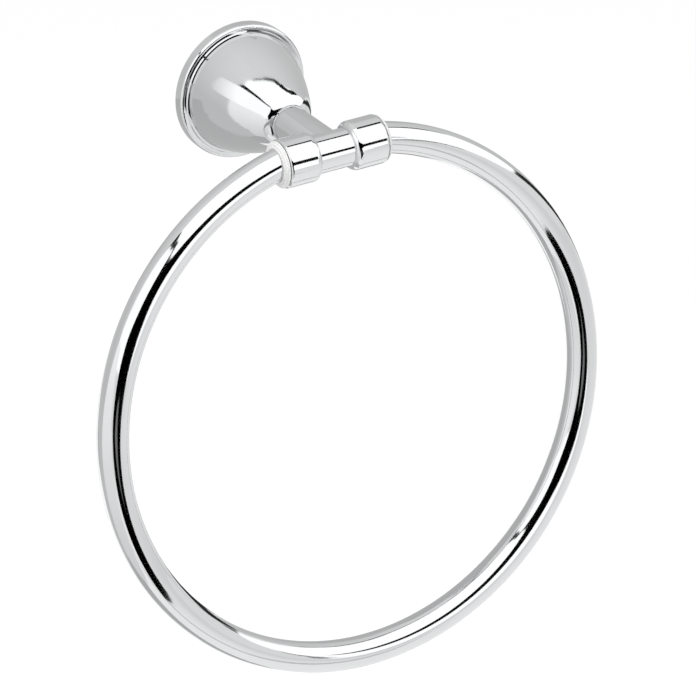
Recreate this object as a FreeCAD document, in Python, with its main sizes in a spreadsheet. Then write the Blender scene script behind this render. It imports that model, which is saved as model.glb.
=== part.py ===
"""Towel ring: a round wall rose with a post, a cross barrel, and a ring that swings in it.

Millimetres. The origin is the centre of the wall face, the wall is the plane y = 0, the room
is towards -Y and +Z is up.
"""

import FreeCAD, Part
import math
import os
import Sketcher

doc = FreeCAD.newDocument("towel_ring")

# The driving dimensions
SIZES = {
    # the ring and how it sits
    "ring_diameter": 200.0,
    "tube_diameter": 11.2,
    "tube_wall": 1.0,
    "tube_depth_in_bush": 6.8,
    "rest_swing_degrees": 7.0,
    # the nylon bushes
    "bush_wall": 1.82,
    "bush_end_length": 2.0,
    "bush_grip_clearance": 0.04,
    "running_clearance": 0.08,
    "flange_gap": 0.3,
    "flange_lip": 0.88,
    "flange_back_width": 0.5,
    "flange_bead_width": 0.6,
    "flange_bead_step": 0.65,
    "flange_mouth_width": 0.4,
    "flange_mouth_step": 0.9,
    "flange_rounding": 0.2,
    # the holder, post and cross barrel in one casting
    "reach": 64.4,
    "barrel_length": 39.0,
    "waist_length": 13.2,
    "waist_diameter": 13.7,
    "shoulder_length": 2.4,
    "collar_wall": 1.25,
    "collar_end_rounding": 0.95,
    "post_diameter": 13.7,
    "post_chamfer": 0.6,
    "tapped_depth": 11.0,
    # the rose
    "rose_diameter": 50.0,
    "rim_thickness": 4.2,
    "rim_rounding": 1.25,
    # the bell's four arcs, each from the lean of its back end to the lean of its front end
    "bell_back_diameter": 44.0,
    "bell_back_lean": 9.5,
    "shoulder_curve_radius": 60.0,
    "shoulder_lean": 19.07,
    "bell_curve_radius": 126.0,
    "bell_lean": 27.3,
    "throat_curve_radius": 30.0,
    "throat_lean": 36.5,
    "lip_curve_radius": 7.3,
    "lip_lean": 65.5,
    "rose_wall": 2.5,
    "hub_wall": 2.5,
    "hub_length": 7.0,
    "web_thickness": 4.0,
    "post_engagement": 12.9,
    "slip_clearance": 0.05,
    # the hidden wall bracket
    "bracket_diameter": 37.0,
    "bracket_plate": 2.5,
    "bracket_height": 9.5,
    "bracket_wall": 2.0,
    "bracket_clearance": 0.15,
    "wall_screw_spacing": 24.0,
    "wall_screw_hole": 4.5,
    "grub_groove_depth": 0.9,
    # the screws and the washer
    "grub_diameter": 3.0,
    "grub_height": 6.9,
    "grub_length": 3.0,
    "grub_key": 1.5,
    "grub_key_depth": 1.6,
    "screw_diameter": 5.0,
    "screw_engagement": 8.0,
    "screw_head_diameter": 8.5,
    "screw_head_height": 4.0,
    "screw_key": 3.0,
    "screw_key_depth": 2.4,
    "screw_hole_clearance": 0.25,
    "washer_diameter": 10.0,
    "washer_thickness": 1.0,
    "washer_bore_clearance": 0.15,
}

sheet = doc.addObject("Spreadsheet::Sheet", "sizes")
for row, (alias, size) in enumerate(SIZES.items(), start=1):
    sheet.set(f"A{row}", alias)
    sheet.set(f"B{row}", str(size))
    sheet.setAlias(f"B{row}", alias)
doc.recompute()


def arc_end(radius, distance, curve_radius, lean_before, lean_after):
    """Gives the radius and the distance from the wall where an arc of the bell has reached a lean."""
    inward = f"(cos({lean_before} * 1 deg) - cos({lean_after} * 1 deg))"
    forward = f"(sin({lean_after} * 1 deg) - sin({lean_before} * 1 deg))"
    return f"({radius} - {curve_radius} * {inward})", f"({distance} + {curve_radius} * {forward})"


# Sizes that follow from the driving ones
TUBE_RADIUS = "(sizes.tube_diameter / 2)"
RING_RADIUS = "(sizes.ring_diameter / 2 - sizes.tube_diameter / 2)"
BUSH_RADIUS = f"({TUBE_RADIUS} + sizes.bush_wall)"
SOCKET_RADIUS = f"({BUSH_RADIUS} + sizes.running_clearance)"
COLLAR_RADIUS = f"({SOCKET_RADIUS} + sizes.collar_wall)"
WAIST_RADIUS = "(sizes.waist_diameter / 2)"
POST_RADIUS = "(sizes.post_diameter / 2)"
BARREL_END = "(sizes.barrel_length / 2)"
FLANGE_BACK = f"({BARREL_END} + sizes.flange_gap)"
BEAD_START = f"({FLANGE_BACK} + sizes.flange_back_width)"
MOUTH_START = f"({BEAD_START} + sizes.flange_bead_width)"
BUSH_MOUTH = f"({MOUTH_START} + sizes.flange_mouth_width)"
TUBE_END = f"({BUSH_MOUTH} - sizes.tube_depth_in_bush)"
BUSH_END = f"({TUBE_END} - sizes.bush_end_length)"
SOCKET_FLOOR = f"({BUSH_END} - sizes.flange_gap)"
# the tube's centre line crosses the barrel's axis in the plane of the bush's mouth
RING_DROP = f"sqrt({RING_RADIUS} * {RING_RADIUS} - {BUSH_MOUTH} * {BUSH_MOUTH})"
TUBE_END_ANGLE = f"asin({TUBE_END} / {RING_RADIUS})"

ROSE_RADIUS = "(sizes.rose_diameter / 2)"
BELL_BACK_RADIUS = "(sizes.bell_back_diameter / 2)"
BELL_BACK = "sizes.rim_thickness"
SHOULDER_RADIUS, SHOULDER = arc_end(
    BELL_BACK_RADIUS, BELL_BACK, "sizes.shoulder_curve_radius", "sizes.bell_back_lean", "sizes.shoulder_lean")
THROAT_RADIUS, THROAT = arc_end(
    SHOULDER_RADIUS, SHOULDER, "sizes.bell_curve_radius", "sizes.shoulder_lean", "sizes.bell_lean")
LIP_RADIUS, LIP = arc_end(
    THROAT_RADIUS, THROAT, "sizes.throat_curve_radius", "sizes.bell_lean", "sizes.throat_lean")
MOUTH_RADIUS, ROSE_FRONT = arc_end(
    LIP_RADIUS, LIP, "sizes.lip_curve_radius", "sizes.throat_lean", "sizes.lip_lean")
BELL_SLOPE = f"(({BELL_BACK_RADIUS} - {THROAT_RADIUS}) / ({THROAT} - {BELL_BACK}))"
POST_BORE_RADIUS = f"({POST_RADIUS} + sizes.slip_clearance)"
POST_SEAT = f"({ROSE_FRONT} - sizes.post_engagement)"
WEB_BACK = f"({POST_SEAT} - sizes.web_thickness)"
HUB_RADIUS = f"({POST_BORE_RADIUS} + sizes.hub_wall)"
CORE_TOP = f"({WEB_BACK} + sizes.hub_length)"

BRACKET_RADIUS = "(sizes.bracket_diameter / 2)"
BRACKET_BORE_RADIUS = f"({BRACKET_RADIUS} + sizes.bracket_clearance)"
BRACKET_RECESS = "(sizes.bracket_height + sizes.bracket_clearance)"
GRUB_RADIUS = "(sizes.grub_diameter / 2)"
SCREW_RADIUS = "(sizes.screw_diameter / 2)"
SCREW_BORE_RADIUS = f"({SCREW_RADIUS} + sizes.screw_hole_clearance)"


# the two sides of the part, as signs of X
LEFT = -1
RIGHT = 1


def value(expression):
    """Works out an expression of the sheet's sizes as a plain number."""
    result = sheet.evalExpression(expression.replace("sizes.", ""))
    return float(getattr(result, "Value", result))


def arc(radius, side):
    """Marks a side of an outline as an arc whose centre is to the left or right of its way."""
    return {"radius": radius, "side": side}


def new_body(label):
    body = doc.addObject("PartDesign::Body", label)
    body.Label = label
    return body


def new_sketch(body, name, plane):
    """Starts a sketch on one of the body's own origin planes."""
    sketch = body.newObject("Sketcher::SketchObject", f"{body.Label}_{name}")
    origin_plane = [feature for feature in body.Origin.OriginFeatures if feature.Role == plane]
    sketch.AttachmentSupport = (origin_plane[0], [""])
    sketch.MapMode = "FlatFace"
    return sketch


def pin(sketch, geometry, end, x, y):
    """Holds a point of the sketch at the place that two expressions give."""
    for expression, kind, axis in ((x, "DistanceX", -2), (y, "DistanceY", -1)):
        if expression == "0":
            sketch.addConstraint(Sketcher.Constraint("PointOnObject", geometry, end, axis))
            continue
        place = Sketcher.Constraint(kind, -1, 1, geometry, end, value(expression))
        index = sketch.addConstraint(place)
        sketch.setExpression(f"Constraints[{index}]", expression)


def arc_between(start, finish, radius, side):
    """Gives the smaller arc between two points, as a curve that runs anticlockwise."""
    chord = finish - start
    middle = (start + finish) * 0.5
    left = FreeCAD.Vector(-chord.y, chord.x, 0).normalize()
    rise = math.sqrt(max(radius ** 2 - chord.Length ** 2 / 4, 0.0))
    centre = middle + left * (rise if side == "left" else -rise)
    first, last = (start, finish) if side == "left" else (finish, start)
    angles = [math.atan2(point.y - centre.y, point.x - centre.x) for point in (first, last)]
    circle = Part.Circle(centre, FreeCAD.Vector(0, 0, 1), radius)
    return Part.ArcOfCircle(circle, angles[0], angles[1])


def draw_outline(sketch, corners):
    """Draws a closed outline of sides and arcs, each corner held by its two expressions.

    A corner is (x, y), or (x, y, arc) where the side that leaves it is an arc.
    """
    places = [FreeCAD.Vector(value(corner[0]), value(corner[1]), 0) for corner in corners]
    ends = []
    for index, corner in enumerate(corners):
        start = places[index]
        finish = places[(index + 1) % len(places)]
        if len(corner) == 2:
            side = sketch.addGeometry(Part.LineSegment(start, finish), False)
            ends.append((side, 1, 2))
            continue
        bend = corner[2]
        curve = arc_between(start, finish, value(bend["radius"]), bend["side"])
        side = sketch.addGeometry(curve, False)
        ends.append((side, 1, 2) if bend["side"] == "left" else (side, 2, 1))
    for index, (side, _, finish) in enumerate(ends):
        following, start, _ = ends[(index + 1) % len(ends)]
        sketch.addConstraint(Sketcher.Constraint("Coincident", side, finish, following, start))
    for (side, start, _), corner in zip(ends, corners):
        pin(sketch, side, start, corner[0], corner[1])
    for (side, _, _), corner in zip(ends, corners):
        if len(corner) == 3:
            radius = Sketcher.Constraint("Radius", side, value(corner[2]["radius"]))
            index = sketch.addConstraint(radius)
            sketch.setExpression(f"Constraints[{index}]", corner[2]["radius"])
    return sketch


def draw_circle(sketch, x, y, radius):
    """Draws a circle whose centre and radius follow expressions."""
    centre = FreeCAD.Vector(value(x), value(y), 0)
    circle = Part.Circle(centre, FreeCAD.Vector(0, 0, 1), value(radius))
    geometry = sketch.addGeometry(circle, False)
    pin(sketch, geometry, 3, x, y)
    index = sketch.addConstraint(Sketcher.Constraint("Radius", geometry, value(radius)))
    sketch.setExpression(f"Constraints[{index}]", radius)


def draw_hexagon(sketch, across_flats):
    """Draws a hexagon about the sketch's origin, with a corner on the horizontal axis."""
    radius = f"({across_flats} / sqrt(3))"
    centre = FreeCAD.Vector(0, 0, 0)
    rim = Part.Circle(centre, FreeCAD.Vector(0, 0, 1), value(radius))
    circle = sketch.addGeometry(rim, True)
    pin(sketch, circle, 3, "0", "0")
    index = sketch.addConstraint(Sketcher.Constraint("Radius", circle, value(radius)))
    sketch.setExpression(f"Constraints[{index}]", radius)
    turns = [math.radians(60 * step) for step in range(7)]
    corners = [FreeCAD.Vector(math.cos(turn), math.sin(turn), 0) * value(radius) for turn in turns]
    sides = [sketch.addGeometry(Part.LineSegment(a, b), False) for a, b in zip(corners, corners[1:])]
    for side, following in zip(sides, sides[1:] + sides[:1]):
        sketch.addConstraint(Sketcher.Constraint("Coincident", side, 2, following, 1))
        sketch.addConstraint(Sketcher.Constraint("PointOnObject", side, 1, circle))
    for side in sides[1:]:
        sketch.addConstraint(Sketcher.Constraint("Equal", sides[0], side))
    sketch.addConstraint(Sketcher.Constraint("PointOnObject", sides[0], 1, -1))


def turn_profile(body, kind, sketch, axis):
    """Turns a sketch about one of its own axes, to add material or to cut a groove."""
    feature = body.newObject(f"PartDesign::{kind}", f"{sketch.Name}_{kind.lower()}")
    feature.Profile = sketch
    feature.ReferenceAxis = (sketch, [axis])
    feature.Angle = 360
    sketch.Visibility = False
    return feature


def cut_pocket(body, sketch, depth=None, towards_normal=False):
    """Cuts a sketch into the body, through all of it or to a depth."""
    feature = body.newObject("PartDesign::Pocket", f"{sketch.Name}_pocket")
    feature.Profile = sketch
    feature.Reversed = towards_normal
    if depth is None:
        feature.Type = "ThroughAll"
    else:
        feature.Type = "Length"
        feature.setExpression("Length", depth)
    return feature


def place(body, x="0", y="0", z="0", axis=(0, 0, 1), degrees="0"):
    """Stands a finished piece in the part's frame."""
    body.Placement = FreeCAD.Placement(FreeCAD.Vector(), FreeCAD.Rotation(FreeCAD.Vector(*axis), 1.0))
    for name, expression in (("x", x), ("y", y), ("z", z)):
        body.setExpression(f".Placement.Base.{name}", expression)
    body.setExpression(".Placement.Rotation.Angle", degrees)


def make_wall_bracket():
    """The hidden cup that is screwed to the wall, with a groove for the rose's grub screw."""
    body = new_body("wall_bracket")
    inner = f"({BRACKET_RADIUS} - sizes.bracket_wall)"
    cup = new_sketch(body, "section", "XY_Plane")
    draw_outline(cup, [
        ("0", "0"),
        (BRACKET_RADIUS, "0"),
        (BRACKET_RADIUS, "sizes.bracket_height"),
        (inner, "sizes.bracket_height"),
        (inner, "sizes.bracket_plate"),
        ("0", "sizes.bracket_plate"),
    ])
    turn_profile(body, "Revolution", cup, "V_Axis")
    groove = new_sketch(body, "groove", "XY_Plane")
    draw_outline(groove, [
        (BRACKET_RADIUS, "sizes.grub_height - sizes.grub_groove_depth"),
        (BRACKET_RADIUS, "sizes.grub_height + sizes.grub_groove_depth"),
        (f"{BRACKET_RADIUS} - sizes.grub_groove_depth", "sizes.grub_height"),
    ])
    turn_profile(body, "Groove", groove, "V_Axis")
    hole = new_sketch(body, "wall_screw_hole", "XZ_Plane")
    draw_circle(hole, "sizes.wall_screw_spacing / 2", "0", "sizes.wall_screw_hole / 2")
    pocket = cut_pocket(body, hole)
    pair = body.newObject("PartDesign::PolarPattern", "wall_bracket_screw_holes")
    pair.Originals = [pocket]
    pair.Axis = (cup, ["V_Axis"])
    pair.Angle = 360
    pair.Occurrences = 2
    body.Tip = pair
    place(body, axis=(0, 0, 1), degrees="180 deg")
    return body


def make_rose():
    """The bell-shaped rose: a thin casting with a rounded rim, a curved bell and a rounded lip."""
    body = new_body("rose")
    core_back = f"({BELL_BACK_RADIUS} - sizes.rose_wall - {BELL_SLOPE} * ({BRACKET_RECESS} - {BELL_BACK}))"
    core_top = f"({BELL_BACK_RADIUS} - sizes.rose_wall - {BELL_SLOPE} * ({CORE_TOP} - {BELL_BACK}))"
    section = new_sketch(body, "section", "XY_Plane")
    draw_outline(section, [
        (BRACKET_BORE_RADIUS, "0"),
        (ROSE_RADIUS, "0"),
        (ROSE_RADIUS, "sizes.rim_thickness - sizes.rim_rounding", arc("sizes.rim_rounding", "left")),
        (f"{ROSE_RADIUS} - sizes.rim_rounding", "sizes.rim_thickness"),
        (BELL_BACK_RADIUS, BELL_BACK, arc("sizes.shoulder_curve_radius", "left")),
        (SHOULDER_RADIUS, SHOULDER, arc("sizes.bell_curve_radius", "left")),
        (THROAT_RADIUS, THROAT, arc("sizes.throat_curve_radius", "left")),
        (LIP_RADIUS, LIP, arc("sizes.lip_curve_radius", "left")),
        (MOUTH_RADIUS, ROSE_FRONT),
        ("0", ROSE_FRONT),
        ("0", BRACKET_RECESS),
        (BRACKET_BORE_RADIUS, BRACKET_RECESS),
    ])
    turn_profile(body, "Revolution", section, "V_Axis")
    core = new_sketch(body, "core", "XY_Plane")
    draw_outline(core, [
        ("0", BRACKET_RECESS),
        (core_back, BRACKET_RECESS),
        (core_top, CORE_TOP),
        ("0", CORE_TOP),
    ])
    turn_profile(body, "Groove", core, "V_Axis")
    hub = new_sketch(body, "hub", "XY_Plane")
    draw_outline(hub, [
        ("0", WEB_BACK),
        (HUB_RADIUS, WEB_BACK),
        (HUB_RADIUS, CORE_TOP),
        ("0", CORE_TOP),
    ])
    turn_profile(body, "Revolution", hub, "V_Axis")
    bore = new_sketch(body, "stepped_bore", "XY_Plane")
    draw_outline(bore, [
        ("0", WEB_BACK),
        (SCREW_BORE_RADIUS, WEB_BACK),
        (SCREW_BORE_RADIUS, POST_SEAT),
        (POST_BORE_RADIUS, POST_SEAT),
        (POST_BORE_RADIUS, f"{ROSE_FRONT} + sizes.lip_curve_radius"),
        ("0", f"{ROSE_FRONT} + sizes.lip_curve_radius"),
    ])
    turn_profile(body, "Groove", bore, "V_Axis")
    hole = new_sketch(body, "grub_screw_hole", "XY_Plane")
    draw_circle(hole, "0", "sizes.grub_height", f"{GRUB_RADIUS} + sizes.slip_clearance")
    cut_pocket(body, hole)
    place(body, axis=(0, 0, 1), degrees="180 deg")
    return body


def make_rose_grub_screw():
    """The headless screw under the rose, which locks it on the bracket."""
    body = new_body("rose_grub_screw")
    section = new_sketch(body, "section", "XZ_Plane")
    draw_outline(section, [
        ("0", "0"),
        (GRUB_RADIUS, "0"),
        (GRUB_RADIUS, "sizes.grub_length - sizes.grub_groove_depth"),
        (f"{GRUB_RADIUS} - sizes.grub_groove_depth", "sizes.grub_length"),
        ("0", "sizes.grub_length"),
    ])
    turn_profile(body, "Revolution", section, "V_Axis")
    key = new_sketch(body, "key", "XY_Plane")
    draw_hexagon(key, "sizes.grub_key")
    cut_pocket(body, key, "sizes.grub_key_depth", towards_normal=True)
    tip = f"({BRACKET_RADIUS} - sizes.grub_groove_depth + {GRUB_RADIUS} - sizes.grub_groove_depth)"
    bottom = f"-({tip} + sizes.slip_clearance + sizes.grub_length)"
    place(body, y="-sizes.grub_height", z=bottom)
    return body


def make_holder():
    """The holder: a post and a cross barrel with a blind socket in each end, cast in one."""
    body = new_body("holder")
    waist_end = "(sizes.waist_length / 2)"
    shoulder_end = f"({waist_end} + sizes.shoulder_length)"
    step = f"({COLLAR_RADIUS} - {WAIST_RADIUS})"
    shoulder_radius = f"(({step}^2 + sizes.shoulder_length^2) / (2 * {step}))"
    barrel = new_sketch(body, "barrel_section", "XZ_Plane")
    draw_outline(barrel, [
        ("0", "0"),
        (SOCKET_FLOOR, "0"),
        (SOCKET_FLOOR, SOCKET_RADIUS),
        (BARREL_END, SOCKET_RADIUS),
        (BARREL_END, f"{COLLAR_RADIUS} - sizes.collar_end_rounding", arc("sizes.collar_end_rounding", "left")),
        (f"{BARREL_END} - sizes.collar_end_rounding", COLLAR_RADIUS),
        (shoulder_end, COLLAR_RADIUS, arc(shoulder_radius, "left")),
        (waist_end, WAIST_RADIUS),
        ("0", WAIST_RADIUS),
    ])
    half = turn_profile(body, "Revolution", barrel, "H_Axis")
    mirror_plane = [feature for feature in body.Origin.OriginFeatures if feature.Role == "YZ_Plane"]
    whole = body.newObject("PartDesign::Mirrored", "holder_barrel")
    whole.Originals = [half]
    whole.MirrorPlane = (mirror_plane[0], [""])
    body.Tip = whole
    post_end = f"(sizes.reach - {POST_SEAT})"
    tap_radius = f"({SCREW_RADIUS} + sizes.slip_clearance)"
    tap_floor = f"({post_end} - sizes.tapped_depth)"
    post = new_sketch(body, "post_section", "XY_Plane")
    draw_outline(post, [
        ("0", "0"),
        (POST_RADIUS, "0"),
        (POST_RADIUS, f"{post_end} - sizes.post_chamfer"),
        (f"{POST_RADIUS} - sizes.post_chamfer", post_end),
        (tap_radius, post_end),
        (tap_radius, tap_floor),
        ("0", f"{tap_floor} - {tap_radius} / sqrt(3)"),
    ])
    turn_profile(body, "Revolution", post, "V_Axis")
    place(body, y="-sizes.reach")
    return body


def make_holder_screw():
    """The cap screw that draws the post into the rose from behind."""
    body = new_body("holder_screw")
    shank = f"(sizes.washer_thickness + sizes.web_thickness + sizes.screw_engagement)"
    head_radius = "(sizes.screw_head_diameter / 2)"
    section = new_sketch(body, "section", "XY_Plane")
    draw_outline(section, [
        ("0", "0"),
        (head_radius, "0"),
        (head_radius, "sizes.screw_head_height"),
        (SCREW_RADIUS, "sizes.screw_head_height"),
        (SCREW_RADIUS, f"sizes.screw_head_height + {shank} - {SCREW_RADIUS} / 4"),
        (f"{SCREW_RADIUS} * 3 / 4", f"sizes.screw_head_height + {shank}"),
        ("0", f"sizes.screw_head_height + {shank}"),
    ])
    turn_profile(body, "Revolution", section, "V_Axis")
    key = new_sketch(body, "key", "XZ_Plane")
    draw_hexagon(key, "sizes.screw_key")
    cut_pocket(body, key, "sizes.screw_key_depth")
    head_back = f"({WEB_BACK} - sizes.washer_thickness - sizes.screw_head_height)"
    place(body, y=f"-{head_back}", axis=(0, 0, 1), degrees="180 deg")
    return body


def make_holder_washer():
    """The flat washer under the cap screw's head."""
    body = new_body("holder_washer")
    ring = new_sketch(body, "section", "XZ_Plane")
    draw_circle(ring, "0", "0", "sizes.washer_diameter / 2")
    draw_circle(ring, "0", "0", f"{SCREW_RADIUS} + sizes.washer_bore_clearance")
    pad = body.newObject("PartDesign::Pad", "holder_washer_pad")
    pad.Profile = ring
    pad.setExpression("Length", "sizes.washer_thickness")
    place(body, y=f"-({WEB_BACK} - sizes.washer_thickness)")
    return body


def tube_sketch(body, name, side):
    """Starts a sketch square across the ring's tube where its left or right end stops.

    Its origin is the ring's centre and its horizontal axis is the one that the ring is bent about.
    """
    sketch = new_sketch(body, name, "YZ_Plane")
    bend_axis = FreeCAD.Vector(1, 0, 0)
    sketch.AttachmentOffset = FreeCAD.Placement(FreeCAD.Vector(), FreeCAD.Rotation(bend_axis, 1.0))
    sketch.setExpression(".AttachmentOffset.Base.y", f"-{RING_DROP}")
    sketch.setExpression(".AttachmentOffset.Rotation.Angle", f"{side} * {TUBE_END_ANGLE}")
    return sketch


def hang_on_barrel(body):
    """Hangs a piece on the barrel's axis, swung out from the wall as far as it rests."""
    place(body, y="-sizes.reach", axis=(-1, 0, 0), degrees="sizes.rest_swing_degrees * 1 deg")


def make_ring():
    """The ring: one round tube bent to an open circle, with its two ends inside the bushes."""
    body = new_body("ring")
    section = tube_sketch(body, "tube_section", RIGHT)
    for radius in (TUBE_RADIUS, f"{TUBE_RADIUS} - sizes.tube_wall"):
        draw_circle(section, "0", RING_RADIUS, radius)
    tube = turn_profile(body, "Revolution", section, "H_Axis")
    tube.setExpression("Angle", f"360 deg - 2 * {TUBE_END_ANGLE}")
    hang_on_barrel(body)
    return body


def make_bush(label, side):
    """A flanged nylon bush, which fits the ring's curved end and turns in the barrel's socket."""
    body = new_body(label)
    flange = f"({BUSH_RADIUS} + sizes.flange_lip)"
    bead = f"({flange} - sizes.flange_bead_step)"
    mouth = f"({bead} - sizes.flange_mouth_step)"
    rounding = "sizes.flange_rounding"
    section = new_sketch(body, "section", "XZ_Plane")
    draw_outline(section, [
        (BUSH_END, "0"),
        (BUSH_MOUTH, "0"),
        (BUSH_MOUTH, f"{mouth} - {rounding}", arc(rounding, "left")),
        (f"{BUSH_MOUTH} - {rounding}", mouth),
        (MOUTH_START, mouth),
        (MOUTH_START, f"{bead} - {rounding}", arc(rounding, "left")),
        (f"{MOUTH_START} - {rounding}", bead),
        (BEAD_START, bead),
        (BEAD_START, f"{flange} - {rounding}", arc(rounding, "left")),
        (f"{BEAD_START} - {rounding}", flange),
        (FLANGE_BACK, flange),
        (FLANGE_BACK, BUSH_RADIUS),
        (BUSH_END, BUSH_RADIUS),
    ])
    if side == LEFT:
        about = FreeCAD.Rotation(FreeCAD.Vector(0, 1, 0), 180)
        section.AttachmentOffset = FreeCAD.Placement(FreeCAD.Vector(), about)
    turn_profile(body, "Revolution", section, "H_Axis")
    bore = tube_sketch(body, "bore", side)
    draw_circle(bore, "0", RING_RADIUS, f"{TUBE_RADIUS} + sizes.bush_grip_clearance")
    groove = turn_profile(body, "Groove", bore, "H_Axis")
    groove.Reversed = side == LEFT
    groove.setExpression("Angle", f"3 * {TUBE_END_ANGLE}")
    hang_on_barrel(body)
    return body


PIECES = [
    make_wall_bracket(),
    make_rose(),
    make_rose_grub_screw(),
    make_holder(),
    make_holder_screw(),
    make_holder_washer(),
    make_ring(),
    make_bush("left_bush", LEFT),
    make_bush("right_bush", RIGHT),
]
doc.recompute()

for item in doc.Objects:
    if "Invalid" in item.State or "Error" in item.State:
        raise RuntimeError(f"{item.Label} did not build: {item.State}")
for piece in PIECES:
    if piece.Shape.isNull() or not piece.Shape.isValid() or len(piece.Shape.Solids) != 1:
        raise RuntimeError(f"{piece.Label} is not one valid solid")

os.makedirs("parts", exist_ok=True)
for piece in PIECES:
    piece.Shape.exportStep(f"parts/{piece.Label}.step")
    box = piece.Shape.BoundBox
    print(
        f"{piece.Label}: volume {piece.Shape.Volume:.1f},"
        f" x {box.XMin:.2f} to {box.XMax:.2f},"
        f" y {box.YMin:.2f} to {box.YMax:.2f},"
        f" z {box.ZMin:.2f} to {box.ZMax:.2f}"
    )
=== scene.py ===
"""A wall-hung towel ring: a chrome ring in nylon bushes, a cast holder and a bell-shaped rose."""

import math

import bmesh
import bpy
from mathutils import Matrix, Vector


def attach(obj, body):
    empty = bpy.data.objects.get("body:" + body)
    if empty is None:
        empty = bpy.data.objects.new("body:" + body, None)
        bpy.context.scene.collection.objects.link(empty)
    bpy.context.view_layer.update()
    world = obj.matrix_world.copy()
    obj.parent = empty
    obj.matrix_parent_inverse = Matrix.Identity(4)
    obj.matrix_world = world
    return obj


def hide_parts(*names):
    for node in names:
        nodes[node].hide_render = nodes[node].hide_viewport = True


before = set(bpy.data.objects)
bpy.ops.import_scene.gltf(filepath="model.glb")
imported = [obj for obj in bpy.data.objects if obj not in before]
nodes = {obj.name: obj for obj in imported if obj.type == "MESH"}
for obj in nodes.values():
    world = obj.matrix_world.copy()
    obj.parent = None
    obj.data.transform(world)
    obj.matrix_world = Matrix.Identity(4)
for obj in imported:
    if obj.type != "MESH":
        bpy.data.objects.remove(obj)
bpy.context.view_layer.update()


# Camera: a long lens two metres away, above the towel ring and to its left, turned a little
# about its own axis.

CAMERA_LENS = 300.1
CAMERA_SENSOR = 36.0
CAMERA_FAR_CLIP = 100.0
CAMERA_PLACE = (-0.89003, -1.646888, 0.833589)
CAMERA_TURN = math.radians(29.49822)
CAMERA_DIP = math.radians(26.60774)
CAMERA_ROLL = math.radians(-1.66471)


def add_to_scene(name, data):
    """Puts a new object with this name and data into the scene."""
    thing = bpy.data.objects.new(name, data)
    bpy.context.scene.collection.objects.link(thing)
    return thing


camera = add_to_scene("camera", bpy.data.cameras.new("camera"))
camera.data.lens = CAMERA_LENS
camera.data.sensor_width = CAMERA_SENSOR
camera.data.clip_end = CAMERA_FAR_CLIP
camera.matrix_world = (
    Matrix.Translation(CAMERA_PLACE)
    @ Matrix.Rotation(-CAMERA_TURN, 4, "Z")
    @ Matrix.Rotation(math.pi / 2 - CAMERA_DIP, 4, "X")
    @ Matrix.Rotation(CAMERA_ROLL, 4, "Z")
)
bpy.context.scene.camera = camera
bpy.context.scene.view_settings.view_transform = "Standard"


# Light and floor: a soft box overhead, another on the left, a white room round them, and a
# pale floor far below that keeps the shadow.

STUDIO_CENTRE = Vector((0.0, -0.06, -0.08))
WHITE = (1.0, 1.0, 1.0, 1.0)
ROOM_LIGHT = 0.66


def toward(azimuth, elevation):
    """The direction at an azimuth, counted from the room's side to the right, and a height."""
    turn, rise = math.radians(azimuth), math.radians(elevation)
    level = math.cos(rise)
    return Vector((math.sin(turn) * level, -math.cos(turn) * level, math.sin(rise)))


def add_node(material, kind, links=(), **settings):
    """Adds a shader node with its settings and connects what feeds its sockets."""
    node = material.node_tree.nodes.new(kind)
    for name, value in settings.items():
        setattr(node, name, value)
    for source, socket in links:
        material.node_tree.links.new(source, node.inputs[socket])
    return node


def new_material(name):
    """A material with an empty node tree."""
    material = bpy.data.materials.new(name)
    material.use_nodes = True
    material.node_tree.nodes.clear()
    return material


def seen_directly(tree):
    """1 where the camera looks, straight or by a mirror or a glass, and 0 where light falls."""
    rays = add_node(tree, "ShaderNodeLightPath")
    mirrored = add_node(
        tree,
        "ShaderNodeMath",
        [(rays.outputs["Is Camera Ray"], 0), (rays.outputs["Is Glossy Ray"], 1)],
        operation="MAXIMUM",
    )
    through = add_node(
        tree,
        "ShaderNodeMath",
        [(mirrored.outputs[0], 0), (rays.outputs["Is Transmission Ray"], 1)],
        operation="MAXIMUM",
    )
    return through.outputs[0]


room = bpy.data.worlds.new("white_room")
room.use_nodes = True
room.node_tree.nodes.clear()
bpy.context.scene.world = room
falling = add_node(room, "ShaderNodeBackground")
falling.inputs["Color"].default_value = WHITE
falling.inputs["Strength"].default_value = ROOM_LIGHT
white = add_node(room, "ShaderNodeBackground")
white.inputs["Color"].default_value = WHITE
white.inputs["Strength"].default_value = 1.0
walls = add_node(
    room,
    "ShaderNodeMixShader",
    [(seen_directly(room), "Fac"), (falling.outputs[0], 1), (white.outputs[0], 2)],
)
add_node(room, "ShaderNodeOutputWorld", [(walls.outputs[0], "Surface")])


def hang_soft_box(name, azimuth, elevation, distance, width, height, power):
    """Hangs a soft box that faces the towel ring. It lights the nylon and the floor, and the
    cards below are what the chrome shows of it."""
    lamp = bpy.data.lights.new(name, "AREA")
    lamp.shape = "RECTANGLE"
    lamp.size, lamp.size_y = width, height
    lamp.energy = power
    box = add_to_scene(name, lamp)
    direction = toward(azimuth, elevation)
    look = direction.to_track_quat("Z", "Y").to_matrix().to_4x4()
    box.matrix_world = Matrix.Translation(STUDIO_CENTRE + direction * distance) @ look
    box.visible_camera = False
    box.visible_glossy = False


hang_soft_box(
    "overhead_soft_box",
    azimuth=-20.0,
    elevation=72.0,
    distance=3.0,
    width=3.0,
    height=2.0,
    power=40.0,
)
hang_soft_box(
    "left_soft_box",
    azimuth=-70.0,
    elevation=25.0,
    distance=3.0,
    width=2.4,
    height=1.6,
    power=18.0,
)

FLOOR_HEIGHT = -1.1
FLOOR_SIZE = 30.0
FLOOR_COLOUR = (0.82, 0.82, 0.82, 1.0)
FLOOR_LIFT = (0.36, 0.36, 0.36, 1.0)

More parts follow.
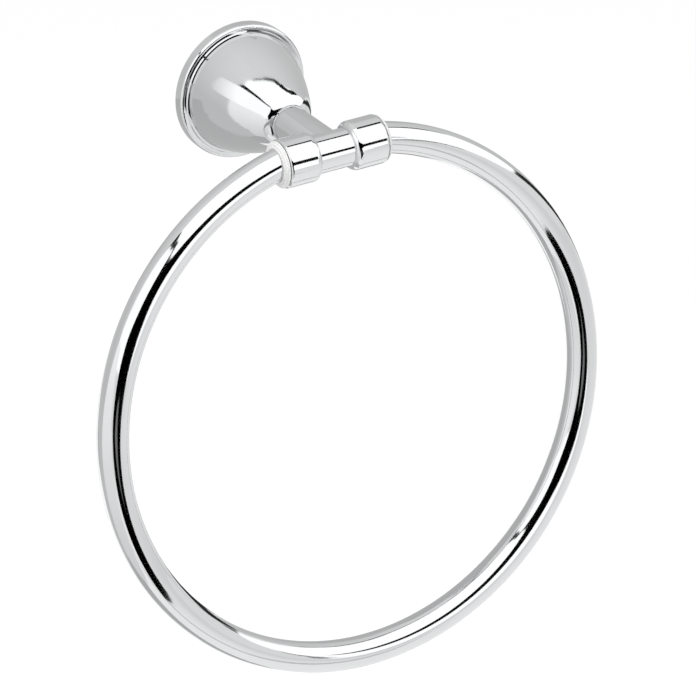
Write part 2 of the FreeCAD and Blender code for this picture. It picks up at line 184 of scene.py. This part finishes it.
floor_paint = new_material("pale_floor")
matt = add_node(floor_paint, "ShaderNodeBsdfDiffuse")
matt.inputs["Color"].default_value = FLOOR_COLOUR
lift = add_node(floor_paint, "ShaderNodeEmission", [(seen_directly(floor_paint), "Strength")])
lift.inputs["Color"].default_value = FLOOR_LIFT
both = add_node(floor_paint, "ShaderNodeAddShader", [(matt.outputs[0], 0), (lift.outputs[0], 1)])
add_node(floor_paint, "ShaderNodeOutputMaterial", [(both.outputs[0], "Surface")])


def make_mesh(name, shape, material):
    """Turns a finished bmesh into a mesh with its material."""
    mesh = bpy.data.meshes.new(name)
    shape.to_mesh(mesh)
    shape.free()
    mesh.materials.append(material)
    return mesh


sheet = bmesh.new()
bmesh.ops.create_grid(sheet, x_segments=1, y_segments=1, size=FLOOR_SIZE / 2)
bmesh.ops.translate(sheet, vec=(0.0, 0.0, FLOOR_HEIGHT), verts=sheet.verts)
floor = add_to_scene("floor", make_mesh("floor", sheet, floor_paint))


# Cards: what polished chrome shows of the studio. Curved sheets stand round the towel ring, one
# behind the other: grey walls, the glowing ceiling in its dark frame, and the black opening that
# the camera looks in through. Only mirrored rays see them.

CARD_REACH = 0.85
CARD_GAP = 0.01
CARD_CUTS = 9


def make_glow(name, strength):
    """An even white glow, where a strength of 1 is white. Its lamp node comes back with it."""
    glow = new_material(name)
    lamp = add_node(glow, "ShaderNodeEmission")
    lamp.inputs["Color"].default_value = WHITE
    lamp.inputs["Strength"].default_value = strength
    add_node(glow, "ShaderNodeOutputMaterial", [(lamp.outputs[0], "Surface")])
    return glow, lamp


def show_in_mirrors_only(card):
    """Hides a card from the lens and from all light but mirrored rays."""
    for kind in ("camera", "diffuse", "transmission", "volume_scatter", "shadow"):
        setattr(card, "visible_" + kind, False)


def stand_card(name, layer, light, columns):
    """Stands a card behind so many others. Its columns each give an azimuth and the heights of
    the lower and upper edge there, in degrees. Its light is one strength, where white is 1, or
    runs evenly between two places, each given as azimuth, height and strength."""
    reach = CARD_REACH + CARD_GAP * layer
    card = bmesh.new()
    posts = [
        [card.verts.new(toward(azimuth, height)) for height in edges] for azimuth, *edges in columns
    ]
    for left, right in zip(posts, posts[1:]):
        card.faces.new((left[0], right[0], right[1], left[1]))
    bmesh.ops.subdivide_edges(card, edges=card.edges[:], cuts=CARD_CUTS, use_grid_fill=True)
    for corner in card.verts:
        corner.co = STUDIO_CENTRE + corner.co.normalized() * reach
    if isinstance(light, float):
        glow, _ = make_glow(name, light)
    else:
        (*start, low), (*end, high) = light
        glow, lamp = make_glow(name, high)
        foot = STUDIO_CENTRE + toward(*start) * reach
        run = STUDIO_CENTRE + toward(*end) * reach - foot
        where = add_node(glow, "ShaderNodeTexCoord").outputs["Object"]
        from_foot = add_node(glow, "ShaderNodeVectorMath", [(where, 0)], operation="SUBTRACT")
        from_foot.inputs[1].default_value = foot
        along = add_node(
            glow, "ShaderNodeVectorMath", [(from_foot.outputs[0], 0)], operation="DOT_PRODUCT"
        )
        along.inputs[1].default_value = run / run.length_squared
        fade = add_node(glow, "ShaderNodeMapRange", [(along.outputs["Value"], "Value")])
        fade.inputs["To Min"].default_value = low
        fade.inputs["To Max"].default_value = high
        glow.node_tree.links.new(fade.outputs[0], lamp.inputs["Strength"])
    stand = add_to_scene(name, make_mesh(name, card, glow))
    show_in_mirrors_only(stand)


# Walls, and the ground under the room
stand_card(
    "left_wall", 8, ((-160, 18, 0.72), (-160, 72, 0.97)),
    [(-180, -60, 82), (-135, -60, 82), (-112, -60, 68), (-102, -60, 56)],
)
stand_card(
    "back_wall", 8, ((150, -12, 0.62), (150, 72, 0.95)),
    [(98, 5, 60), (112, 5, 69), (135, -14, 78.5), (155, -15, 81), (180, -15, 82)],
)
stand_card(
    "low_back_wall", 6, 1.3,
    [(-135, -60, -32), (-140, -75, -27), (-148, -75, -24), (-156, -75, -16), (-164, -75, -8),
     (-174, -75, -8), (-184, -75, -9), (-194, -75, -14), (-202, -75, -20), (-210, -60, -28)],
)
stand_card(
    "left_wall_foot", 7, ((-158, -25, 0.54), (-124, -20, 0.72)),
    [(-176, -60, 3), (-160, -60, 3), (-145, -60, 3), (-130, -60, 3), (-118, -60, 3),
     (-106, -60, 3)],
)
stand_card(
    "behind_wall", 7, ((150, -8, 0.55), (180, 30, 0.73)),
    [(136, -10, 40), (150, -12, 44), (165, -8, 46), (180, -6, 46), (195, 0, 46), (208, 8, 44)],
)
stand_card("low_back_shade", 6, 0.3, [(134, -40, -20), (144, -52, -23), (152, -50, -27)])
stand_card(
    "low_wall", 8, 0.57, [(148, -62, -15), (160, -62, -15), (170, -62, -15), (180, -62, -15)]
)
stand_card(
    "under_wall", 5, 0.58,
    [(-66, -80, -72), (-75, -88, -53), (-88, -88, -42), (-106, -88, -46), (-130, -88, -50),
     (-138, -88, -52), (-141, -88, -72), (-180, -88, -74), (-195, -88, -74), (-205, -85, -70)],
)
stand_card(
    "low_strip", 3, ((-40, -36, 0.95), (20, -40, 0.72)),
    [(-46, -32, -28.5), (-40, -37.5, -33), (-35, -41.5, -36), (-30, -44, -38.5),
     (-25, -46.5, -40.5), (-20, -47.5, -42), (-10, -48.5, -43), (0, -48, -43), (10, -46.5, -41),
     (15, -44.5, -38), (20, -41.5, -33.5), (25, -37, -29), (30, -33, -26)],
)
stand_card(
    "left_low_wall", 4, ((-88, -45, 0.9), (-88, 15, 1.24)),
    [(-104, -47, -8), (-101, -47, 22), (-88, -52, 22), (-76, -53, 20), (-66, -52, 13),
     (-52, -46, 4), (-49, -44, -2), (-40, -30, -6)],
)

# A small grey card close behind the rose, which mostly the rose and the post mirror
SHADE_LIGHT = 0.6
SHADE_PLACE = (-0.0125, 0.02, -0.088)
SHADE_WIDTH = 0.145
SHADE_HEIGHT = 0.164

shade = bmesh.new()
bmesh.ops.create_grid(shade, x_segments=1, y_segments=1, size=0.5)
bmesh.ops.scale(shade, vec=(SHADE_WIDTH, SHADE_HEIGHT, 1.0), verts=shade.verts)
upright = Matrix.Translation(SHADE_PLACE) @ Matrix.Rotation(math.pi / 2, 4, "X")
bmesh.ops.transform(shade, matrix=upright, verts=shade.verts)
shade_glow, _ = make_glow("rose_shade", SHADE_LIGHT)
rose_shade = add_to_scene("rose_shade", make_mesh("rose_shade", shade, shade_glow))
show_in_mirrors_only(rose_shade)

# Glowing panel and ceiling
stand_card(
    "left_panel", 2, ((-113, 30, 0.88), (-100, 32, 1.5)),
    [(-113, 24, 44), (-108, 21, 47), (-102, 20, 51), (-98, 20, 52), (-88, 20, 54), (-76, 19, 55),
     (-66, 13, 53), (-60, 12, 52), (-44, 9, 45)],
)
stand_card(
    "ceiling", 1, 1.55,
    [(-140, 79, 90), (-128, 77.3, 90), (-120, 73.9, 90), (-112, 66, 90), (-104, 56, 90),
     (-75, 54.5, 90), (-60, 52, 90), (-46, 44, 90), (-25, 32, 90), (0, 28, 90), (3, 2, 90),
     (8, -6, 90), (14, -12, 90), (20, -13, 90), (26, -9, 90), (30, -1, 90), (33, 5, 90),
     (38, 9, 90), (46, 12, 90), (62, 13, 90), (82, 13.5, 90), (98, 12, 90), (99, 32, 90),
     (101, 50, 90), (107, 60, 90), (114, 68, 90), (122, 73.5, 90), (136, 77.5, 90),
     (150, 80, 90), (180, 81.8, 90), (205, 81.1, 90), (220, 79, 90)],
)

# The camera's opening, with an arm over and an arm under the bright notch at its right
stand_card(
    "opening", 0, 0.0,
    [(-43, 6.5, 44), (-36, -5, 40), (-31, -13, 37.5), (-28, -24, 35.5), (-24.5, -44, 34),
     (-12, -39, 32), (1, -30.3, 30.3)],
)
stand_card("opening_top_left", 0, 0.0, [(-53, 49.5, 51.5), (-46, 43.5, 46.8), (-43, 38, 44)])
stand_card("opening_left", 0, 0.0, [(-50, 18.5, 20.5), (-46, 11.5, 26), (-43, 6.5, 33)])
stand_card(
    "opening_upper_arm", 0, 0.0,
    [(1, 7, 30.3), (6, 9.5, 29.5), (12, 9.5, 27.5), (20, 9, 25), (28, 11.5, 22), (36, 13.5, 15.5)],
)
stand_card(
    "opening_lower_arm", 0, 0.0,
    [(1, -30.3, 3.5), (7, -26.5, -4), (13, -19, -10.5), (19, -15.3, -14.7)],
)
stand_card("opening_faint_light", -1, 0.22, [(-20, -8, -2), (-12, -14, -4), (-3, -19, -12)])

# The dark frame along the ceiling's edge
stand_card(
    "left_frame", 0, 0.0,
    [(-105, 50.5, 57), (-94, 53, 58), (-75, 52, 55.5), (-60, 50.5, 53.3), (-50, 47.5, 50.3)],
)
stand_card(
    "right_frame", 0, 0.03,
    [(78, 12.6, 13.6), (88, 8, 13), (96, 2, 12.5), (104, -3, 9), (112, -8, 3.5), (120, -14, -4),
     (130, -20.5, -13), (140, -25, -19.5), (150, -30, -27.5)],
)
stand_card(
    "notch_frame", 0, 0.0,
    [(28, -5.5, -3), (30, -1.5, 1), (33, 3.5, 6), (38, 8, 9.7), (46, 11.4, 12.4)],
)
stand_card(
    "back_frame_side", 0, 0.0, [(90, 48, 58), (93, 40, 58), (97, 33, 57), (100, 30, 40)]
)
stand_card(
    "back_frame_top", 0, 0.0,
    [(90, 51, 59), (94, 51, 63), (97, 51.5, 65), (100, 53.7, 66.4), (103, 56.6, 67.6),
     (107, 58.8, 68.2), (110, 60.2, 68.4), (113, 62.8, 69.2), (115, 64.8, 70.3), (117, 66.4, 71.3),
     (119, 68.3, 72.4), (121, 70.1, 73.5), (123, 71.5, 74.5), (126, 73.1, 75.8), (129, 74.5, 76.9),
     (133, 75.8, 78.1), (139, 77.4, 79.4), (145, 78.7, 80.3), (151, 79.6, 80.9), (158, 80.4, 81.4),
     (168, 81.1, 81.9), (180, 81.5, 82.1), (192, 81.3, 82.0), (203, 80.7, 81.6)],
)
stand_card(
    "left_back_frame", 0, ((-125, 76.5, 0.6), (-157, 81.2, 0.0)),
    [(203, 80.7, 81.6), (214, 79.6, 80.8), (226, 77.4, 79.0), (236, 74.7, 76.4), (242, 72.6, 74.2)],
)


# Rose: the bell-shaped cover on the wall, a thin brass casting turned with a rounded rim, a
# narrow flat face, a hollow curve and a rounded lip, then polished and chrome-plated.

CHROME_COLOUR = (0.66, 0.665, 0.672)
WAVE_SCALE = 55.0
WAVE_DEPTH = 0.00004


def make_chrome(name, polish, trace_size):
    """Polished chrome plate: bright, with slow waves from the polishing wheel, faint clouds in
    its shine, and traces of the mop that are a little duller."""
    chrome = new_material(name)
    where = add_node(chrome, "ShaderNodeTexCoord").outputs["Object"]
    cloud = add_node(chrome, "ShaderNodeTexNoise", [(where, "Vector")])
    cloud.inputs["Scale"].default_value = WAVE_SCALE
    cloud.inputs["Detail"].default_value = 2.0
    trace = add_node(chrome, "ShaderNodeTexNoise", [(where, "Vector")])
    trace.inputs["Scale"].default_value = 1.0 / trace_size
    trace.inputs["Detail"].default_value = 5.0
    tone = add_node(chrome, "ShaderNodeValToRGB", [(cloud.outputs["Fac"], "Fac")])
    tone.color_ramp.elements[0].position = 0.3
    tone.color_ramp.elements[1].position = 0.7
    tone.color_ramp.elements[0].color = (*(part * 0.985 for part in CHROME_COLOUR), 1.0)
    tone.color_ramp.elements[1].color = (*(part * 1.015 for part in CHROME_COLOUR), 1.0)
    gloss = add_node(chrome, "ShaderNodeMapRange", [(trace.outputs["Fac"], "Value")])
    gloss.inputs["From Min"].default_value = 0.3
    gloss.inputs["From Max"].default_value = 0.7
    gloss.inputs["To Min"].default_value = polish * 0.85
    gloss.inputs["To Max"].default_value = polish * 1.15
    waves = add_node(chrome, "ShaderNodeBump", [(cloud.outputs["Fac"], "Height")])
    waves.inputs["Strength"].default_value = 1.0
    waves.inputs["Distance"].default_value = WAVE_DEPTH
    skin = add_node(
        chrome,
        "ShaderNodeBsdfPrincipled",
        [
            (tone.outputs["Color"], "Base Color"),
            (gloss.outputs["Result"], "Roughness"),
            (waves.outputs["Normal"], "Normal"),
        ],
    )
    skin.inputs["Metallic"].default_value = 1.0
    add_node(chrome, "ShaderNodeOutputMaterial", [(skin.outputs[0], "Surface")])
    return chrome


def dress(name, material):
    """Gives a solid of the model its finish."""
    nodes[name].data.materials.clear()
    nodes[name].data.materials.append(material)


rose_chrome = make_chrome("rose_chrome", polish=0.07, trace_size=0.0009)
dress("rose", rose_chrome)

# The fine step that the turner leaves in the flat face, halfway between the rim and the bell
FACE_HEIGHT = 0.0042
STEP_HEIGHT = 0.0005
STEP_FOOT_RADIUS = 0.02295
STEP_EDGE_RADIUS = 0.0226
STEP_INNER_RADIUS = 0.0215
STEPS_ROUND = 240
SHARPEST_SMOOTH_EDGE = math.radians(30.0)

step = bmesh.new()
profile = [
    step.verts.new((radius, -height, 0.0))
    for radius, height in (
        (STEP_INNER_RADIUS, FACE_HEIGHT - STEP_HEIGHT),
        (STEP_FOOT_RADIUS, FACE_HEIGHT - STEP_HEIGHT),
        (STEP_FOOT_RADIUS, FACE_HEIGHT),
        (STEP_EDGE_RADIUS, FACE_HEIGHT + STEP_HEIGHT),
        (STEP_INNER_RADIUS, FACE_HEIGHT + STEP_HEIGHT),
    )
]
outline = [step.edges.new(ends) for ends in zip(profile, profile[1:] + profile[:1])]
bmesh.ops.spin(
    step,
    geom=profile + outline,
    cent=(0.0, 0.0, 0.0),
    axis=(0.0, 1.0, 0.0),
    angle=2 * math.pi,
    steps=STEPS_ROUND,
    use_merge=True,
)
bmesh.ops.recalc_face_normals(step, faces=step.faces)
for edge in step.edges:
    edge.smooth = edge.calc_face_angle() < SHARPEST_SMOOTH_EDGE
for face in step.faces:
    face.smooth = True
rose_step = add_to_scene("rose_step", make_mesh("rose_step", step, rose_chrome))
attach(rose_step, "wall_mount")


# Bracket and screws: the cup that two screws hold on the wall, the grub screw that locks the
# rose on it, and the screw and washer that draw the holder into the rose. All are zinc-plated
# steel and stay behind or inside the rose.


def make_zinc(name, colour, dullness):
    """Zinc-plated steel, with the cloudy shine and fine pits that the plating bath leaves."""
    zinc = new_material(name)
    where = add_node(zinc, "ShaderNodeTexCoord").outputs["Object"]
    cloud = add_node(zinc, "ShaderNodeTexNoise", [(where, "Vector")])
    cloud.inputs["Scale"].default_value = 260.0
    cloud.inputs["Detail"].default_value = 5.0
    pits = add_node(zinc, "ShaderNodeTexNoise", [(where, "Vector")])
    pits.inputs["Scale"].default_value = 3200.0
    pits.inputs["Detail"].default_value = 2.0
    tone = add_node(zinc, "ShaderNodeValToRGB", [(cloud.outputs["Fac"], "Fac")])
    tone.color_ramp.elements[0].position = 0.3
    tone.color_ramp.elements[1].position = 0.7
    tone.color_ramp.elements[0].color = (*(part * 0.88 for part in colour), 1.0)
    tone.color_ramp.elements[1].color = (*(part * 1.1 for part in colour), 1.0)
    gloss = add_node(zinc, "ShaderNodeMapRange", [(cloud.outputs["Fac"], "Value")])
    gloss.inputs["To Min"].default_value = dullness * 0.75
    gloss.inputs["To Max"].default_value = dullness * 1.25
    skin_bump = add_node(zinc, "ShaderNodeBump", [(pits.outputs["Fac"], "Height")])
    skin_bump.inputs["Strength"].default_value = 0.5
    skin_bump.inputs["Distance"].default_value = 0.00002
    skin = add_node(
        zinc,
        "ShaderNodeBsdfPrincipled",
        [
            (tone.outputs["Color"], "Base Color"),
            (gloss.outputs["Result"], "Roughness"),
            (skin_bump.outputs["Normal"], "Normal"),
        ],
    )
    skin.inputs["Metallic"].default_value = 1.0
    add_node(zinc, "ShaderNodeOutputMaterial", [(skin.outputs[0], "Surface")])
    return zinc


dress("wall_bracket", make_zinc("bracket_zinc", (0.60, 0.61, 0.63), dullness=0.34))
dress("rose_grub_screw", make_zinc("grub_screw_zinc", (0.42, 0.42, 0.43), dullness=0.30))
dress("holder_screw", make_zinc("screw_zinc", (0.55, 0.56, 0.58), dullness=0.28))
dress("holder_washer", make_zinc("washer_zinc", (0.58, 0.59, 0.61), dullness=0.32))


# Holder: a post and a cross barrel cast in one piece of brass, turned, polished and plated. The
# barrel has a collar round the socket at each end and a narrower waist between them.

dress("holder", make_chrome("holder_chrome", polish=0.07, trace_size=0.0008))


# Bushes: two flanged bearings moulded in white nylon. Each grips one end of the tube and turns
# in the barrel's socket, and only its stepped flange shows.

NYLON_COLOUR = (0.87, 0.873, 0.865)

nylon = new_material("white_nylon")
where = add_node(nylon, "ShaderNodeTexCoord").outputs["Object"]
flow = add_node(nylon, "ShaderNodeTexNoise", [(where, "Vector")])
flow.inputs["Scale"].default_value = 320.0
flow.inputs["Detail"].default_value = 3.0
grain = add_node(nylon, "ShaderNodeTexNoise", [(where, "Vector")])
grain.inputs["Scale"].default_value = 4200.0
grain.inputs["Detail"].default_value = 3.0
tone = add_node(nylon, "ShaderNodeValToRGB", [(flow.outputs["Fac"], "Fac")])
tone.color_ramp.elements[0].position = 0.3
tone.color_ramp.elements[1].position = 0.7
tone.color_ramp.elements[0].color = (*(part * 0.97 for part in NYLON_COLOUR), 1.0)
tone.color_ramp.elements[1].color = (*(part * 1.02 for part in NYLON_COLOUR), 1.0)
gloss = add_node(nylon, "ShaderNodeMapRange", [(flow.outputs["Fac"], "Value")])
gloss.inputs["To Min"].default_value = 0.3
gloss.inputs["To Max"].default_value = 0.48
pores = add_node(nylon, "ShaderNodeBump", [(grain.outputs["Fac"], "Height")])
pores.inputs["Strength"].default_value = 0.4
pores.inputs["Distance"].default_value = 0.00001
skin = add_node(
    nylon,
    "ShaderNodeBsdfPrincipled",
    [
        (tone.outputs["Color"], "Base Color"),
        (gloss.outputs["Result"], "Roughness"),
        (pores.outputs["Normal"], "Normal"),
    ],
)
skin.inputs["IOR"].default_value = 1.53
skin.inputs["Subsurface Weight"].default_value = 0.2
skin.inputs["Subsurface Radius"].default_value = (1.0, 1.0, 1.0)
skin.inputs["Subsurface Scale"].default_value = 0.0012
add_node(nylon, "ShaderNodeOutputMaterial", [(skin.outputs[0], "Surface")])
dress("left_bush", nylon)
dress("right_bush", nylon)


# Ring: one brass tube bent to an open circle, polished and chrome-plated. Its two ends stop
# inside the bushes, and it hangs seven degrees out from plumb.

BARREL_CENTRE = (0.0, -0.0644, 0.0)
RING_RADIUS = 0.0944
RING_DROP = 0.09197
TUBE_RADIUS = 0.0056
TUBE_WALL = 0.001
TUBE_END = 0.0145
TUBE_SIDES = 72
TUBE_RINGS = 240
REST_SWING = math.radians(7.0)

end_turn = math.asin(TUBE_END / RING_RADIUS)
tube = bmesh.new()
bmesh.ops.create_circle(tube, segments=TUBE_SIDES, radius=TUBE_RADIUS)
start = Matrix.Translation((RING_RADIUS, 0.0, 0.0)) @ Matrix.Rotation(math.pi / 2, 4, "X")
bmesh.ops.transform(tube, matrix=start, verts=tube.verts)
bmesh.ops.spin(
    tube,
    geom=tube.verts[:] + tube.edges[:],
    cent=(0.0, 0.0, 0.0),
    axis=(0.0, 0.0, 1.0),
    angle=2 * math.pi - 2 * end_turn,
    steps=TUBE_RINGS,
    use_merge=False,
)
hang = (
    Matrix.Translation(BARREL_CENTRE)
    @ Matrix.Rotation(REST_SWING, 4, (-1.0, 0.0, 0.0))
    @ Matrix.Translation((0.0, 0.0, -RING_DROP))
    @ Matrix.Rotation(math.pi / 2, 4, "X")
    @ Matrix.Rotation(math.pi / 2 + end_turn, 4, "Z")
)
bmesh.ops.transform(tube, matrix=hang, verts=tube.verts)
bmesh.ops.recalc_face_normals(tube, faces=tube.faces)
ring_chrome = make_chrome("ring_chrome", polish=0.07, trace_size=0.0008)
ring_mesh = make_mesh("ring_tube", tube, ring_chrome)
ring_mesh.shade_smooth()
ring = add_to_scene("ring_tube", ring_mesh)
wall = ring.modifiers.new("tube_wall", "SOLIDIFY")
wall.thickness = TUBE_WALL
wall.offset = -1.0
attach(ring, "ring")
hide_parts("ring")
